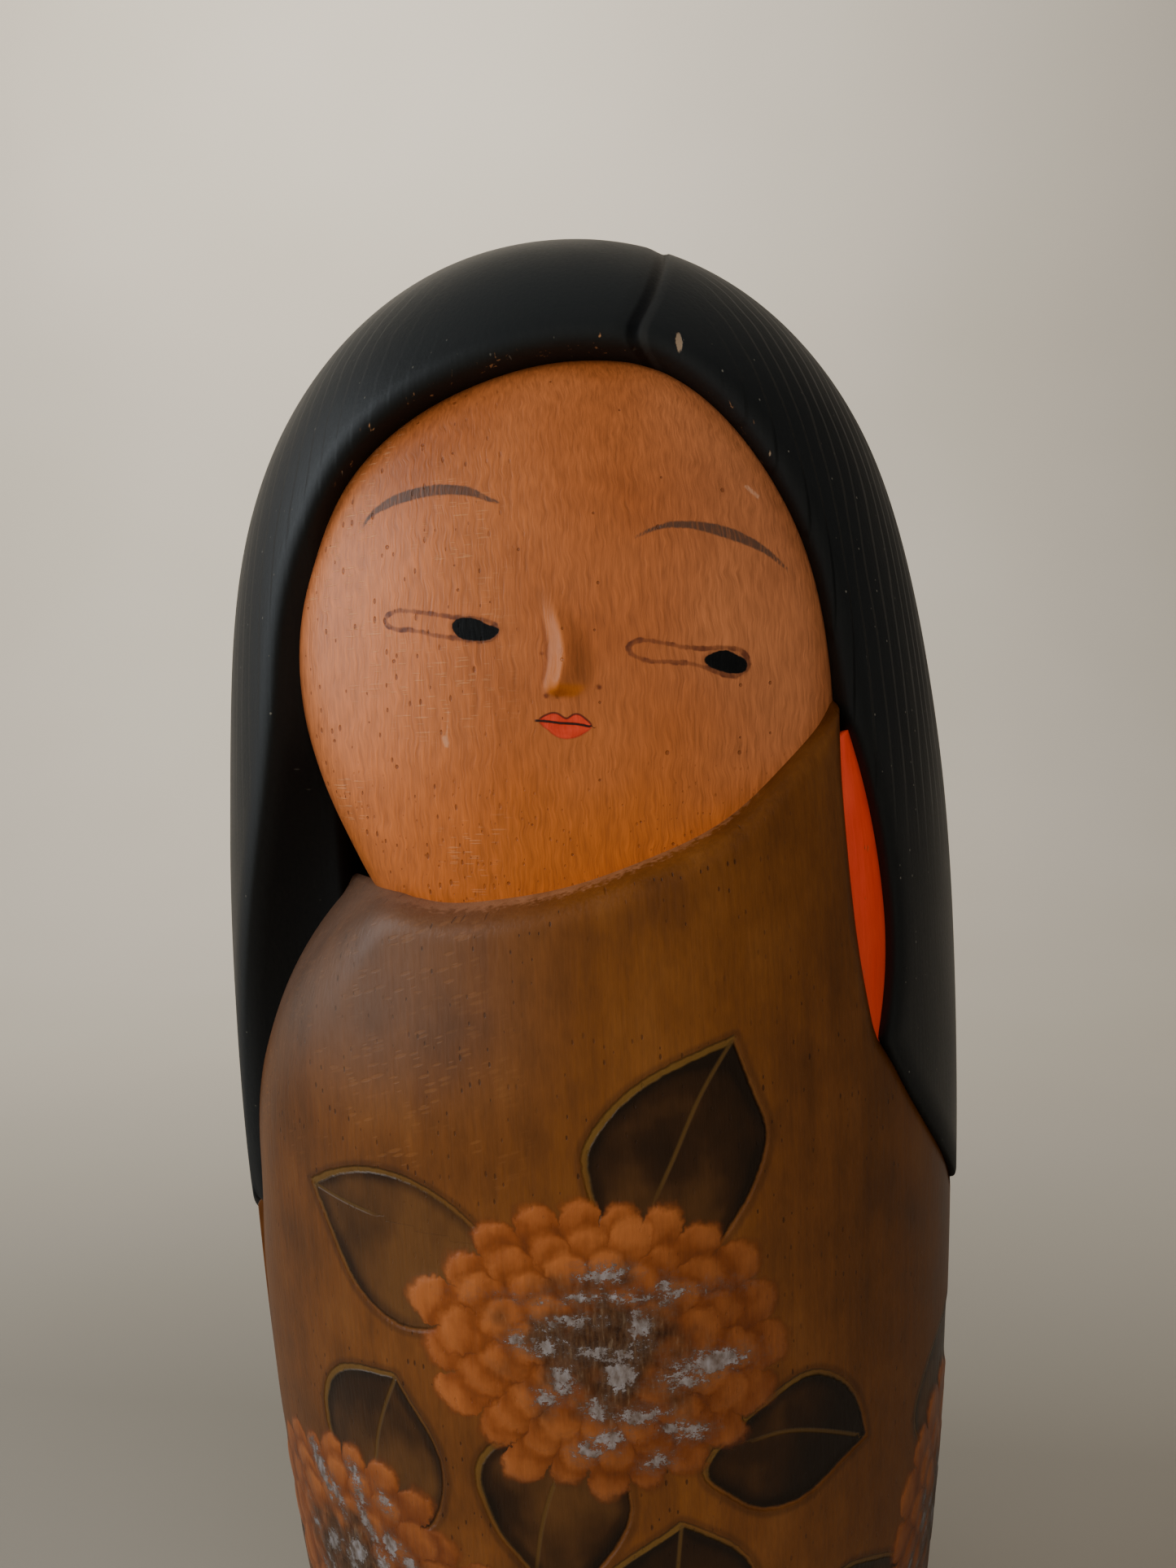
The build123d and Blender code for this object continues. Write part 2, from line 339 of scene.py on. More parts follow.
class Paint:
    """One material under construction."""

    def __init__(self, name):
        self.material = bpy.data.materials.new(name)
        self.material.use_nodes = True
        self.tree = self.material.node_tree
        self.tree.nodes.clear()
        split = self.node("SeparateXYZ", Vector=self.node("TexCoord").outputs["Object"])
        self.x, self.y, self.z = (Wire(part) * (1 / MM) for part in split.outputs)
        self.u = heading(self.x, -self.y) * CHART_RADIUS

    def node(self, kind, **inputs):
        """A node with these inputs; _ in a name stands for a space."""
        node = self.tree.nodes.new("ShaderNode" + kind)
        for name, value in inputs.items():
            feed(self.tree, node.inputs[name.replace("_", " ")], value)
        return node

    def field(self, name):
        """A number tagged on the piece."""
        node = self.node("Attribute")
        node.attribute_name = name
        return Wire(node.outputs["Fac"])

    def vector(self, x, y, z):
        return self.node("CombineXYZ", X=x, Y=y, Z=z).outputs[0]

    def noise(self, across, along, detail=2.0, shift=0.0, warp=0.0, rough=0.5, at=None):
        """Smooth noise, about 0 to 1, with features this big across, one size or X and Y, and along Z."""
        wide, deep = across if isinstance(across, tuple) else (across, across)
        x, y, z = at or (self.x, self.y, self.z)
        spot = self.vector(x * (1 / wide) + shift, y * (1 / deep), z * (1 / along))
        node = self.node("TexNoise", Vector=spot, Scale=1.0, Detail=detail, Roughness=rough, Distortion=warp)
        return Wire(node.outputs["Fac"])

    def sway(self, amount, *sizes, **more):
        """Noise about 0, with nearly all of it within half the amount."""
        return (self.noise(*sizes, **more) - 0.5) * amount

    def cells(self, spot, jitter=1.0, kind="3D"):
        """Random cells: two numbers that each cell has for its own, and the distance from its middle."""
        node = self.node("TexVoronoi", Vector=spot, Scale=1.0, Randomness=jitter)
        node.voronoi_dimensions = kind
        split = self.node("SeparateColor", Color=node.outputs["Color"])
        return Wire(split.outputs[0]), Wire(split.outputs[1]), Wire(node.outputs["Distance"])

    def specks(self, a, b, size_a, size_b, keep, radius, jitter=1.0):
        """Scattered ovals over the plane of a and b: 1 inside them. Keep is the share of cells with one."""
        spot = self.vector(a * (1 / size_a), b * (1 / size_b), 0.0)
        pick, length, distance = self.cells(spot, jitter, "2D")
        reach = radius * (0.45 + length * 0.9)
        return calc("LESS_THAN", pick, keep) * rise(1.15, 0.6, distance / reach)

    def blend(self, a, b, amount, kind="MIX"):
        """Colour b over colour a."""
        node = self.node("Mix")
        node.data_type = "RGBA"
        node.blend_type = kind
        for slot, value in zip((node.inputs[0], node.inputs[6], node.inputs[7]), (amount, a, b)):
            feed(self.tree, slot, value)
        return node.outputs[2]

    def ramp(self, amount, *stops):
        """A colour that runs through the stops, each a place and a colour."""
        node = self.node("ValToRGB", Fac=amount)
        marks = node.color_ramp.elements
        while len(marks) < len(stops):
            marks.new(0.5)
        for mark, (place, colour) in zip(marks, stops):
            mark.position = place
            mark.color = (*srgb(*colour), 1.0)
        return node.outputs[0]

    def shade(self, colour, amount):
        """The colour made lighter or darker by a factor."""
        grey = self.vector(amount, amount, amount)
        return self.blend(colour, grey, 1.0, "MULTIPLY")

    def coat(self, colour, amount):
        """Puts a colour over the one so far."""
        self.colour = self.blend(self.colour, colour, amount)

    def dim(self, amount):
        """Makes the colour so far lighter or darker by a factor."""
        self.colour = self.shade(self.colour, amount)

    def finish(self, rough, height, **plain):
        """The material, of the colour so far; height is in mm, and plain ones are constants of the shader."""
        bump = self.node("Bump", Strength=1.0, Distance=MM, Height=height).outputs[0]
        shader = self.node("BsdfPrincipled", Base_Color=self.colour, Roughness=rough, Normal=bump, **plain)
        self.node("OutputMaterial", Surface=shader.outputs[0])
        return self.material


# ---- the robe's painting
# A chart of the robe: u is the way round from the front, to the doll's left, and z the height.
CHART_RADIUS = 59.0
ROUND = 2 * np.pi * CHART_RADIUS


def unrolled(u, middle):
    """The way round measured from a middle, so that nothing is cut at the back."""
    return (u - middle + ROUND / 2) % ROUND - ROUND / 2


def oval(rx, rz, lumps):
    """An uneven oval, for the outline of a flower."""
    turn = np.linspace(0, 2 * np.pi, 24, endpoint=False)
    reach = 1 + 0.04 * np.sin(3 * turn + lumps) + 0.03 * np.sin(5 * turn + 2 * lumps)
    return np.c_[rx * reach * np.cos(turn), rz * reach * np.sin(turn)]


# Each flower: its middle on the chart, and its outline about that middle
FLOWERS = [
    ((-1.5, 121.5), closed_curve([
        (26.2, -5.5), (24.9, 3.6), (22.5, 9.7), (17.2, 15.4), (10.4, 19.5), (-3.3, 21.4), (-15.4, 17.9),
        (-23.8, 10.9), (-26.6, -2.7), (-19.8, -11.1), (-16, -16.5), (-8.4, -19.9), (0.9, -21), (13.5, -18.6),
        (22.8, -12.4),
    ], 6)),
    ((-46, 80), oval(28, 21.5, 0.5)),
    ((72, 73), oval(27, 24, 2.2)),
    ((-113, 76), oval(26, 21, 4)),
    ((137, 74), oval(26, 21, 1.2)),
    ((-178, 62), oval(27, 22, 5.1)),
]
# Rings of petals from the outside in: how many, how far out, how far turned
RINGS = [(21, 1.0, 0.3), (18, 0.8, 0.75), (14, 0.61, 0.2), (10, 0.43, 0.6), (6, 0.26, 0.1)]


def petals(qx, qz, seed):
    """Tone and height, 0 to 1, and cover of a flower, at places measured in parts of its outline."""
    r = root(qx * qx + qz * qz)
    turn = heading(qz, qx) * (0.5 / np.pi) + 0.5
    tone, height, cover = 0.0, 0.0, 0.0
    for count, tip, offset in RINGS:
        place = turn * count + offset
        cell = whole(place)
        cell = cell - count * whole(cell / count)
        # a number of its own for each petal
        chance = fract(sine(cell * 12.99 + seed * 7.3 + tip * 41.0) * 43.7)
        across = size_of(fract(place) - 0.5) * 2.0
        half = np.pi * tip / count
        reach = tip * (0.93 + 0.12 * chance)
        crown = root(1.0 - lesser(across * across, 0.985))
        edge = reach - half * (1.0 - crown)
        inside = rise(-0.05, 0.04, edge - r)
        shadow = rise(0.12, 0.0, r - edge) * (1.0 - inside)
        out = rise(reach - 0.26, reach - 0.02, r)
        own_tone = (0.5 + 0.5 * out) * (0.75 + 0.25 * crown) * (0.75 + 0.25 * chance)
        own_height = crown * (0.55 + 0.45 * out) * rise(0.0, 0.06, edge - r)
        tone = tone * (1.0 - 0.26 * shadow)
        tone = tone + (own_tone - tone) * inside
        height = height + (own_height - height) * inside
        cover = greater(inside, cover)
    return tone, height, cover


def leaf_between(base, tip, width, bend=0.0):
    """A plain leaf with a point, and its midrib."""
    base, tip = np.array(base, float), np.array(tip, float)
    along = tip - base
    side = np.array([-along[1], along[0]]) / np.linalg.norm(along)
    t = np.linspace(0, 1, 9)[:, None]
    spine = base + along * t + side * bend * np.sin(np.pi * t)
    swell = width * np.sin(np.pi * t**1.15) ** 0.85
    outline = np.vstack([(spine + side * swell)[::-1], (spine - side * swell)[1:-1]])
    return outline, spine[2:]


# Each leaf: its outline, from its point right round, and its midrib
LEAVES = [
    ([(17.7, 162.3), (9.4, 159.6), (2.8, 156), (-1.1, 152), (-3.1, 148.3), (-2.9, 144.3), (-1, 138),
      (6, 132), (13, 133), (16.8, 137), (19.3, 140.5), (21.3, 144.7), (22.2, 149.1), (20.9, 153.3)],
     [(17.1, 161.5), (12.3, 154.4), (9, 147.5), (6.1, 141.7)]),
    ([(-46.7, 140.1), (-41, 142.8), (-34.4, 144.4), (-27.3, 143.8), (-21.7, 141.3), (-16, 136), (-14, 130),
      (-19, 124), (-25.4, 122.3), (-29.9, 122), (-34.8, 123.7), (-39.3, 127.5), (-42.2, 132.3)],
     [(-46.3, 139.8), (-39, 138.5), (-33.6, 137.7)]),
    ([(-32.1, 115), (-38.6, 114.6), (-43.9, 112.9), (-48.1, 108.1), (-48.6, 103.3), (-44, 94), (-36, 90),
      (-29, 92), (-25.6, 97.8), (-25.1, 102.4), (-26.6, 107.1), (-29.6, 111.4)],
     [(-32.1, 114.8), (-35.9, 107.1), (-37.6, 101.4), (-38, 96)]),
    ([(39.6, 99.9), (38.3, 104.6), (35.5, 109.4), (31.8, 112.4), (28, 113.7), (22, 112), (14, 107),
      (11.4, 102.5), (15, 98.5), (18.9, 95.7), (23.5, 94.7), (28.5, 95.4), (33.2, 97.6)],
     [(37, 101), (28.2, 104.8), (22.6, 106), (18.8, 105.8)]),
    ([(-10.5, 83), (-14, 89.8), (-17.3, 93.7), (-19.5, 98.4), (-20.3, 103.3), (-15, 109), (-6, 109),
      (0.5, 104), (1.6, 97.8), (-0.3, 93.5), (-3.1, 89.8)],
     [(-9.2, 102.2), (-10.9, 97.1), (-12.4, 89.4)]),
    ([(8.3, 96.2), (5.3, 94.3), (0.6, 91.6), (-4, 87), (-5, 80), (0, 74), (8, 71.5), (16, 74), (20, 80.5),
      (19, 87.4), (16.9, 90.5), (13.8, 93)],
     [(8.3, 95.6), (7.6, 89.1), (7.2, 76)]),
    ([(70, 108), (61.1, 105.4), (55.2, 101.4), (52.6, 97.2), (54.3, 92.4), (60, 86), (72, 86), (82, 92),
      (84, 100), (78, 106)],
     [(69.5, 107), (66, 98), (65, 90)]),
    ([(30.5, 74), (35.1, 81.2), (39.1, 80.8), (43.1, 79.5), (50, 76), (54, 68), (46, 62), (36, 64)],
     [(31.5, 74), (40, 72), (48, 70)]),
]
LEAVES += [leaf_between(*place) for place in [
    ((-66, 68), (-86, 104), 9, 3), ((-98, 88), (-76, 62), 8, -2), ((-40, 64), (-20, 46), 8.5, 2),
    ((-54, 62), (-66, 38), 8, -2), ((-112, 58), (-96, 36), 8, 2), ((-128, 88), (-146, 98), 8, 2),
    ((-124, 62), (-144, 44), 8, -2), ((-176, 84), (-158, 100), 8, -2), ((-186, 82), (-205, 100), 8, 2),
    ((-170, 44), (-154, 28), 7.5, 2), ((-190, 44), (-206, 30), 7.5, -2), ((118, 82), (100, 104), 8.5, 2),
    ((92, 60), (110, 44), 8, 2), ((60, 54), (42, 38), 8.5, -2), ((84, 54), (78, 30), 8, 2),
    ((134, 56), (126, 34), 8, -2), ((150, 60), (168, 92), 8, 3), ((4, 66), (16, 44), 8.5, 2),
    ((-2, 62), (-12, 34), 7.5, -2),
]]


# How light each leaf's colour is; the guessed ones take turns
LEAF_TONES = [0.26, 0.72, 0.4, 0.06, 0.32, 0.2, 0.3, 0.3] + [0.3, 0.6, 0.45] * 7
# Worn patches of a flower: place about its middle, half width, half height
PATCHES = [
    (15, -3.1, 4.2, 1.5), (10.5, -4.8, 2.6, 1), (0.7, -12.4, 1.7, 1.4), (-1.2, -8.4, 1.5, 1.2),
    (4.5, -9.4, 2.6, 0.9), (9, -11.5, 1.5, 0.7), (-5.6, -4.2, 1.3, 2), (2.1, -3.5, 1.9, 2),
    (-11.4, 1.4, 1.1, 0.7), (0.4, 10.5, 2.6, 1.1), (11.9, -12.6, 1.8, 1), (6.3, -16.1, 1.5, 0.9),
    (-8, -6.6, 1.3, 1), (-2.8, -14, 1.5, 1.1), (2, 7.3, 5.2, 0.35), (-4.4, 4, 2.8, 0.7),
    (5, 3.2, 1.3, 2), (-7.8, 0.6, 2, 0.8), (8.6, 7.6, 0.7, 1.2), (-0.4, -0.4, 3, 0.6),
]


def painting(u, z):
    """Fields of the painting over the chart, for every point of the robe."""
    near, qx, qz, seed = np.full(u.shape, 9.0), np.full(u.shape, 9.0), np.zeros(u.shape), np.zeros(u.shape)
    patches = np.full(u.shape, 9.0)
    for number, ((middle, height), outline) in enumerate(FLOWERS):
        du, dz = unrolled(u, middle), z - height
        turn, reach = np.arctan2(outline[:, 1], outline[:, 0]), np.hypot(outline[:, 0], outline[:, 1])
        order = np.argsort(turn)
        limit = np.interp(np.arctan2(dz, du), turn[order], reach[order], period=2 * np.pi)
        q = np.hypot(du, dz) / limit
        take = q < near
        near = np.where(take, q, near)
        qx, qz = np.where(take, du / limit, qx), np.where(take, dz / limit, qz)
        seed = np.where(take, number, seed)
        spin = 2.2 * number
        du, dz = du * np.cos(spin) + dz * np.sin(spin), dz * np.cos(spin) - du * np.sin(spin)
        for patch_u, patch_z, half_u, half_z in PATCHES:
            off = np.hypot((du - patch_u) / half_u, (dz - patch_z) / half_z) - 1
            patches = np.minimum(patches, np.where(take, off * min(half_u, half_z), 9.0))
    leaf, vein, vein_width, lit, shade = (np.full(u.shape, v) for v in (-9.0, 9.0, 0.0, 0.0, 0.0))
    for (outline, midrib), tone in zip(LEAVES, LEAF_TONES):
        outline = smooth_curve(np.vstack([outline, outline[:1]]), steps=5)
        middle = outline.mean(0)
        close = (np.abs(unrolled(u, middle[0])) < 32) & (np.abs(z - middle[1]) < 32)
        du, dz = unrolled(u[close], middle[0]) + middle[0], z[close]
        inside = inside_distance(du, dz, outline)
        take = inside > leaf[close]
        span, side, along = nearest(du, dz, smooth_curve(midrib, steps=5))
        step = 0.3
        slope_u = inside_distance(du + step, dz, outline) - inside
        slope_z = inside_distance(du, dz + step, outline) - inside
        facing = (slope_u * 0.6 - slope_z * 0.8) / step
        for field, values in (
            (leaf, inside), (vein, span * side), (vein_width, np.clip(1.15 - along, 0, 1)),
            (lit, np.clip(0.36 + 0.8 * facing, 0.05, 1.15)), (shade, tone),
        ):
            field[close] = np.where(take, values, field[close])
    return {"flower_x": qx, "flower_z": qz, "flower_seed": seed, "flower_reach": near, "leaf": leaf,
            "vein": vein, "vein_width": vein_width, "leaf_lit": lit, "leaf_tone": shade, "patch": patches}


# ---- hair
# The parting runs from the fringe back over the crown: Y, X
PARTING = smooth_curve([
    (-46, 7.6), (-43.7, 8.5), (-38.6, 11.2), (-30.4, 14), (-13, 16.3), (2, 17), (14, 16),
])
# Small chips in the lacquer: X, Z, half width, half height
CHIPS = [(15.1, 255.8, 0.5, 1.5), (-16.5, 252.8, 0.25, 0.5), (-13, 253.8, 0.2, 0.5), (9, 255.4, 0.5, 0.3),
         (-33, 240.5, 0.2, 0.5), (27, 240, 0.2, 0.5)]
# Y to which the hair's opening and the robe's raised front go back
HAIR_BACK, ROBE_BACK = -15.0, -14.0
SEAT_GAP = 0.4  # how far the hair reaches below the seat
CROWN_MIDDLE = 215.0  # Z of the point that the parting sinks towards


def make_hair():
    angles = angles_for(0.64, 1.9, 78)
    rows = rows_along(hair_profile[hair_profile[:, 1] > 97], 0.9)[:-1]
    P = on_envelope(rows, angles)
    # each column starts on the seat, and keeps its own heights from 40 above its start
    low = seat_z(-GIRTH * np.cos(angles)) - SEAT_GAP
    start = rows[0, 1]
    z = P[..., 2]
    z = z + (low - start) * np.clip(1 - (z - start) / 40, 0, 1)
    x, y = turned(z, angles, hair_profile)
    # over the flat crown many radii lie at nearly one height, so up there the points stay where they were
    x, y = (np.where(P[..., 2] > 200, kept, moved) for kept, moved in ((P[..., 0], x), (P[..., 1], y)))

    behind = is_behind(y)
    front_d = -inside_distance(x, z, hair_hole)
    back_d = z - seat_z(y)
    left = rise(-30, -38, x) * rise(246, 236, z)
    low_right = rise(34, 40, x) * rise(206, 200, z)
    shoulder_side = rise(38, 42, x) * rise(160, 152, z)
    # the edge round the face: how round, how steep the wall behind it, and how deep that goes
    radius = mix(mix(mix(4.0, 3.4, left), 2.2, low_right), 1.3, shoulder_side)
    wall = mix(mix(5.0, 1.75, left), 5.0, low_right)
    floor = mix(60.0, 22.0, left)
    drop = roll_over(front_d, radius, wall, floor) * (1 - behind)
    # the pocket behind the face and the space for the robe's front
    drop = np.minimum(drop, np.maximum(HAIR_BACK - y, 0) + 1.3)
    y = y + drop
    tuck = roll_over(back_d, 1.4, 4.0, 5.0) * rise(-24, -12, P[..., 1])
    x, y = pulled_in(x, y, tuck)
    # the parting: the right half dips towards it and the left half stands over it in a small step
    off = x - follow(y, PARTING)
    crown = rise(240, 250, z) * rise(14, 2, y) * rise(-48, -44, y)
    groove = rise(-3.2, -0.2, off) * rise(0.5, 0.0, off) * crown
    up = z - CROWN_MIDDLE
    sink = 1 - groove * 0.4 / np.maximum(np.sqrt(x**2 + y**2 + up**2), 1)
    x, y, z = x * sink, y * sink, CROWN_MIDDLE + up * sink
    # the crown is a little fuller on the doll's right
    x = x * (1 + np.where(x < 0, 0.024, -0.009) * rise(188, 238, z))
    chips = np.min([np.hypot((x - cx) / w, (z - cz) / h) - 1 for cx, cz, w, h in CHIPS], 0)
    chips = np.where(y < -25, chips, 9.0)
    grid = np.stack([x, y, z], -1)
    # the seat closes the hood below
    rim = grid[0, :, :2]
    shares = (0.15, 0.4, 0.7, 0.92, 0.985)
    caps = [np.c_[rim * k, seat_z(rim[:, 1] * k) - SEAT_GAP + 0.5 * (1 - k)] for k in shares]
    grid = np.concatenate([np.array(caps), grid])
    piece = skin("hair", grid, (0, 0, seat_z(0) + 0.1), (0, 0, TOP))
    for name, field in (("front", front_d), ("parting", off), ("parting_on", crown), ("nicks", chips)):
        tag(piece, name, np.vstack([np.repeat(field[:1], len(caps), 0), field]))
    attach(piece, "root")
    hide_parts("hair_hood")
    return piece


# ---- robe
BORE_TOP, CORE_TOP = 70, 118  # Z where the visible robe closes, in the bore below and under the hair
ROBE_TOP, STRAIGHT = 207.0, 60  # Z of the raised front's top, and below which the rows lie level
PETAL_STANDS, LEAF_SINKS = 0.17, 0.22
# Values of the painting's fields under the foot, where they are not 9
UNDER_FOOT = {"leaf": -9.0, "vein_width": 0.0, "leaf_lit": 0.0, "leaf_tone": 0.0}


def make_robe():
    angles = angles_for(0.68, 1.9, 80)
    base = [(17, BORE_TOP), (17, 50), (17, 26), (17, 3), (17.6, 1.9)] + [(r, 1.5) for r in (19, 26, 34, 40)]
    turn = np.radians(np.linspace(0, 90, 7))
    heel = np.c_[41.3 + 2.3 * np.sin(turn), 3.8 - 2.3 * np.cos(turn)]
    side = robe_profile[robe_profile[:, 1] > 4.6]
    flowered = side[:, 1] >= 62
    P = on_envelope(np.vstack([rows_along(side[~flowered], 1.5), rows_along(side[flowered], 0.71)]), angles)
    z = P[..., 2]
    off = np.degrees(np.minimum(angles, 2 * np.pi - angles))
    top = mix(ROBE_TOP, seat_z(-59.5 * np.cos(angles)) + 0.3, rise(58, 76, off))
    z = np.where(z > STRAIGHT, STRAIGHT + (z - STRAIGHT) * (top - STRAIGHT) / (ROBE_TOP - STRAIGHT), z)
    x, y = turned(z, angles, robe_profile)

    # the carved and painted pattern stands a little out of the turned surface, and its leaves in it
    chart_u = np.where(angles > np.pi, angles - 2 * np.pi, angles) * CHART_RADIUS + 0 * z
    fields = painting(chart_u, z)
    _, crown, cover = petals(fields["flower_x"], fields["flower_z"], fields["flower_seed"])
    relief = PETAL_STANDS * crown * cover - LEAF_SINKS * rise(-0.2, 1.4, fields["leaf"]) * (1 - cover)
    carved = 1 + relief / np.hypot(x, y)

    behind = is_behind(y)
    front_d = inside_distance(x, z, robe_top)
    back_d = seat_z(y) - z
    fields["collar"] = np.where(behind < 0.5, front_d, 99.0)
    fields["collar_run"] = x
    x, y = x * carved, y * carved
    shoulder = rise(-24, -40, x)
    wrap = rise(32, 35, x) * rise(192, 206, z) + rise(33, 35, x) * rise(206, 192, z)
    # the collar's edge is roundest over the shoulder and sharpest at the wrap
    radius = mix(mix(3.0, 9.0, shoulder), 1.5, wrap)
    wall = mix(4.0, 3.0, shoulder)
    drop = roll_over(front_d, radius, wall, 45.0) * (1 - behind)
    drop = np.minimum(drop, np.maximum(ROBE_BACK - y, 0))
    y = y + drop
    # what is left above the collar turns down its hidden back face, to the seat
    outline = np.vstack([collar, wrap_edge, far_shoulder])
    edge_z = follow(x, outline[np.argsort(outline[:, 0])])
    far_side = rise(22, 32, x)
    near_y = mix(mix(-46, -24, shoulder), -34, far_side)
    far_y = mix(mix(-36, -17, shoulder), -22, far_side)
    part = np.clip((z - edge_z) / np.maximum(top - edge_z, 1), 0, 1)
    down = edge_z - part * (edge_z - seat_z(ROBE_BACK))
    folded = rise(0, 1, (y - near_y) / (far_y - near_y)) * (1 - behind)
    z = np.where(z > edge_z, mix(z, down, folded), z)
    tuck = roll_over(back_d, 0.8, 4.0, 3.0) * behind
    x, y = pulled_in(x, y, tuck)
    grid = np.stack([x, y, z], -1)
    under = on_envelope(np.vstack([base, heel]), angles)
    rim = grid[-1]
    caps = [np.c_[rim[:, :2] * k, mix(CORE_TOP, rim[:, 2], k)] for k in (0.97, 0.9, 0.75, 0.5, 0.2)]
    grid = np.concatenate([under, grid, np.array(caps)])
    piece = skin("robe", grid, (0, 0, BORE_TOP), (0, 0, CORE_TOP))
    for name, field in fields.items():
        plain = np.full(under.shape[:2], UNDER_FOOT.get(name, 9.0))
        tag(piece, name, np.vstack([plain, field, np.repeat(field[-1:], len(caps), 0)]))
    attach(piece, "root")
    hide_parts("robe_body")
    return piece


# ---- face
FACE_PROFILE = smooth_curve([
    (50.5, 170), (52.5, 182), (54, 195), (54.4, 208), (53.6, 220), (51.2, 232), (47, 243), (41.5, 252),
    (36.5, 258),
])
FACE_FLATNESS = 0.97
FACE_MIDDLE = np.array([-3.0, 213.0])  # X, Z
FACE_BACK = -17.0  # Y


def face_surface(x, z):
    """Y of the face before its edge and nose."""
    return -np.sqrt(np.maximum(radius_at(z, FACE_PROFILE) ** 2 - (x * FACE_FLATNESS) ** 2, 1))


# X of the nose's ridge and of its two sides, at these heights
NOSE_Z = (207.4, 209, 211, 214, 217.5, 221)
NOSE_LINES = [smooth_curve(list(zip(NOSE_Z, line))) for line in (
    (-3.9, -3.5, -2.9, -2.5, -3, -3.9), (-5.4, -5.7, -5.3, -4.9, -5.3, -6.2),
    (0, 1.6, 2.2, 2, 0.6, -2),
)]


def nose_shape(x, z):
    """How far the nose stands out, steep on one side of its ridge and soft on the other, and its parts, with
    its painted light and shade.
    """
    ridge, left, right = (follow(z, line) for line in NOSE_LINES)
    up = z - (207.9 - 0.1 * (x + 2.6))  # height over the tip's slanting lower edge
    tall = np.interp(up, [-0.4, 0.6, 1.6, 5, 8.5, 11.5, 14.5], [0.0, 1.7, 2.3, 2.0, 1.2, 0.4, 0.0])
    steep = rise(0, 1, (x - left) / (ridge - left))
    soft = np.clip((right - x) / (right - ridge), 0, 1)
    soft = soft**1.9 * (1.0 + 0.6 * (1 - soft))
    height = tall * np.where(x < ridge, steep, soft)
    # painted shade on the nose's flank away from the light
    shaded_flank = rise(0.2, 1.6, x - ridge) * rise(0.3, 2.2, right - x)
    shaded_flank = shaded_flank * rise(0.8, 2.4, up) * rise(12, 6, up)
    lit = rise(0.0, 0.3, (x - left) / (ridge - left)) * rise(0.35, -0.5, x - ridge)
    lit = lit * rise(0.2, 1.4, up) * rise(13.5, 7, up)
    # painted shade in the crease along the nose's left side
    crease_shade = np.exp(-(((x - left) / 0.28) ** 2)) * rise(0.5, 2, up) * rise(12, 7, up)
    under = rise(left + 0.1, left + 1.2, x) * rise(right - 0.8, right - 2.4, x)
    under = under * rise(1.9, 0.8, up) * rise(-0.5, 0.1, up)
    return height, lit, crease_shade, under, shaded_flank


# The painted features, as X and Z on the front of the face
EYES = [
    [(-26.7, 219), (-25.6, 220), (-23.9, 220.1), (-19.2, 219.2), (-14, 218.4), (-11.3, 217),
     (-11.6, 215.8), (-14, 215.5), (-19.3, 216.4), (-23.6, 217.5), (-26, 218.1)],
    [(5.8, 213.6), (7.2, 214.5), (9.2, 214.4), (16.3, 213.2), (21.6, 212.2), (22.1, 210.9), (21.1, 209.7),
     (16.2, 210.6), (9.9, 211.7), (7.1, 212.3)],
]
PUPILS = [
    [(-17.3, 217.6), (-16.7, 218.4), (-15.1, 218.6), (-13.6, 218.2), (-12.4, 217.5), (-11, 216.8),
     (-11.6, 215.9), (-12.6, 215.5), (-15.1, 215.6), (-16.3, 216), (-17, 216.8)],
    [(15.9, 211.7), (17.3, 212.6), (19.3, 212.8), (20.6, 212.1), (21.7, 211.4), (21.7, 210.2), (20.7, 209.7),
     (18.1, 210.1), (16.6, 210.8)],
]
# Brows as brush strokes: X, Z and half thickness
BROWS = [
    [(-29.8, 232.2, 0.03), (-28.6, 233.7, 0.25), (-26.9, 234.7, 0.53), (-25.1, 235.4, 0.68),
     (-22.2, 236, 0.68), (-18, 236.2, 0.68), (-15.8, 235.9, 0.62), (-13.9, 235.4, 0.52),
     (-12.2, 234.5, 0.27), (-10.3, 233.7, 0.03)],
    [(7.5, 228.2, 0.03), (9.3, 229, 0.17), (11.2, 229.6, 0.33), (13.3, 229.8, 0.48), (18.4, 229.1, 0.66),
     (21, 228.3, 0.68), (23.6, 227.2, 0.45), (25.8, 225.9, 0.26), (28.6, 223.5, 0.03)],
]
LIPS = closed_curve([
    (-6.3, 204.7), (-5.5, 205.3), (-4.5, 205.6), (-3.6, 205.4), (-2.6, 204.8), (-1.9, 205.2), (-1.1, 205.3),
    (-0.2, 204.7), (0.6, 203.6), (-0.1, 202.9), (-1.1, 202.4), (-2.7, 202.1), (-4.1, 202.5), (-5.4, 203.6),
], 5)
LIP_SEAM = smooth_curve([(-7.0, 204.7), (-5.1, 204.5), (-3.3, 204.2), (-1.4, 204.0), (0.3, 203.6)], steps=5)
# Dark dots below and beside the nose: X, Z, radius
DOTS = [(-5.1, 207.9, 0.3), (-3.8, 207.7, 0.15), (1.8, 208.7, 0.28), (-3.0, 213.6, 0.12), (-5.5, 213.4, 0.16)]
# Scuffs: two ends and the half thickness
SCUFFS = [
    ((23.3, 235.1), (24.9, 233.8), 0.25), ((-19, 202.9), (-18.8, 201.9), 0.3),
    ((-18.3, 206.5), (-18.7, 203), 0),
]


